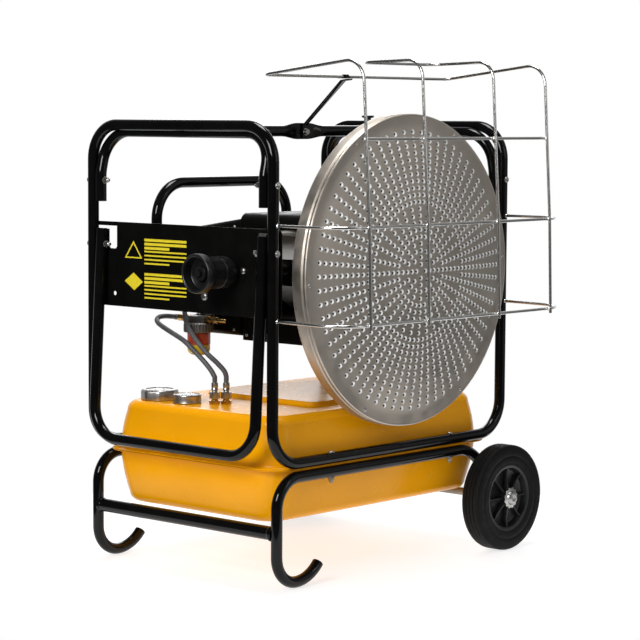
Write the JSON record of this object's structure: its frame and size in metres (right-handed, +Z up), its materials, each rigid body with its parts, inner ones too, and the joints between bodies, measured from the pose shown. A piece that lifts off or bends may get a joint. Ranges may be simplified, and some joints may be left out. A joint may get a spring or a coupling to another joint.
{
  "type": "kerosene radiant heater",
  "caption": "Wheeled kerosene radiant heater: tilting perforated disc burner in a bent tube frame over a fuel tank, with wire guard, skid hooks and wheels.",
  "frame": {"origin": "floor level, under the middle of the object's bounding box", "axes": "+X towards the wheels, -Y the hot face and wire guard, +Z up"},
  "size_m": [0.984, 0.8579, 1.1468],
  "materials": {
    "black_paint": "gloss black powder coat",
    "orange_paint": "gloss orange-yellow enamel",
    "stainless": "brushed stainless, slightly warm",
    "chrome_wire": "bright plated",
    "zinc": "zinc plated",
    "galvanised": "galvanised sheet",
    "black_plastic": "moulded black",
    "tyre_rubber": "matt black rubber",
    "hose": "dark grey braided cover",
    "brass": "machined",
    "filter_red": "translucent red bowl",
    "clear": "clear dome",
    "cast_grey": "cast, dull",
    "signal_red": "red"
  },
  "bodies": {
    "frame": {"frame_hoop_left": "black_paint", "frame_hoop_right": "black_paint", "upper_loop_left": "black_paint", "upper_loop_right": "black_paint", "lower_loop": "black_paint", "top_rail_left": "black_paint", "top_rail_right": "black_paint", "guard_stay": "black_paint", "cord_hanger": "black_plastic", "skid_tube_front": "black_paint", "skid_tube_rear": "black_paint", "skid_crossbar": "black_paint", "axle_bar": "cast_grey", "axle_cap_front": "zinc", "axle_cap_rear": "zinc", "tank_upper": "orange_paint", "tank_lower": "orange_paint", "fuel_filler_neck": "zinc", "gauge_body": "chrome_wire", "gauge_lens": "clear", "hose_fitting_supply": "brass", "hose_fitting_return": "brass", "side_panel_left": "black_paint", "side_panel_right": "black_paint", "guard_outer_loop": "chrome_wire", "guard_inner_loop": "chrome_wire", "guard_wire_top": "chrome_wire", "guard_wire_middle": "chrome_wire", "guard_wire_bottom": "chrome_wire", "supply_hose": "hose", "return_hose": "hose"},
    "wheel_front": {"tyre_front": "tyre_rubber", "wheel_rim_front": "black_plastic"},
    "wheel_rear": {"tyre_rear": "tyre_rubber", "wheel_rim_rear": "black_plastic"},
    "fuel_cap": {"fuel_cap": "chrome_wire"},
    "gauge_needle": {"gauge_needle": "signal_red"},
    "burner": {"disc_rim": "stainless", "disc_front_plate": "stainless", "combustion_chamber": "stainless", "flame_tube": "stainless", "nozzle_assembly": "brass", "top_hood": "black_paint", "heat_shield": "galvanised", "base_box": "black_paint", "rear_cover": "black_paint", "control_box": "black_plastic", "handle_loop": "black_paint", "cradle_arm_left": "black_paint", "cradle_arm_right": "black_paint", "motor": "cast_grey", "fuel_pump": "cast_grey", "filter_head": "cast_grey", "filter_bowl": "filter_red"},
    "fan": {"fan": "zinc"},
    "rocker_switch": {"rocker_switch": "signal_red"},
    "thermostat_dial": {"thermostat_dial": "black_plastic"},
    "tilt_knob_left": {"tilt_knob_left": "black_plastic"},
    "tilt_knob_right": {"tilt_knob_right": "black_plastic"}
  },
  "joints": [
    {"name": "wheel_front_spin", "type": "hinge", "parent": "frame", "child": "wheel_front", "pos_m": [0.3475, -0.2689, 0.125], "axis": [0, 1, 0], "continuous": true},
    {"name": "wheel_rear_spin", "type": "hinge", "parent": "frame", "child": "wheel_rear", "pos_m": [0.3475, 0.3913, 0.125], "axis": [0, 1, 0], "continuous": true},
    {"name": "fuel_cap_turn", "type": "hinge", "parent": "frame", "child": "fuel_cap", "pos_m": [-0.29, 0.2372, 0.38], "axis": [0, 0, 1], "range_deg": [0, 90]},
    {"name": "gauge_needle_swing", "type": "hinge", "parent": "frame", "child": "gauge_needle", "pos_m": [-0.294, 0.1432, 0.384], "axis": [0, 0, 1], "range_deg": [-40, 40]},
    {"name": "burner_tilt", "type": "hinge", "parent": "frame", "child": "burner", "pos_m": [0, -0.0788, 0.685], "axis": [1, 0, 0], "range_deg": [-12, 5], "deforming": ["supply_hose", "return_hose"]},
    {"name": "fan_spin", "type": "hinge", "parent": "burner", "child": "fan", "pos_m": [0, 0.0912, 0.679], "axis": [0, 1, 0], "continuous": true},
    {"name": "rocker_switch_press", "type": "hinge", "parent": "burner", "child": "rocker_switch", "pos_m": [-0.05, 0.2472, 0.65], "axis": [1, 0, 0], "range_deg": [-12, 12]},
    {"name": "thermostat_turn", "type": "hinge", "parent": "burner", "child": "thermostat_dial", "pos_m": [0.04, 0.2512, 0.64], "axis": [0, 1, 0], "range_deg": [0, 270]},
    {"name": "tilt_knob_left_turn", "type": "hinge", "parent": "burner", "child": "tilt_knob_left", "pos_m": [-0.44, -0.0788, 0.685], "axis": [1, 0, 0], "range_deg": [0, 270]},
    {"name": "tilt_knob_right_turn", "type": "hinge", "parent": "burner", "child": "tilt_knob_right", "pos_m": [0.44, -0.0788, 0.685], "axis": [1, 0, 0], "range_deg": [0, 270]}
  ]
}
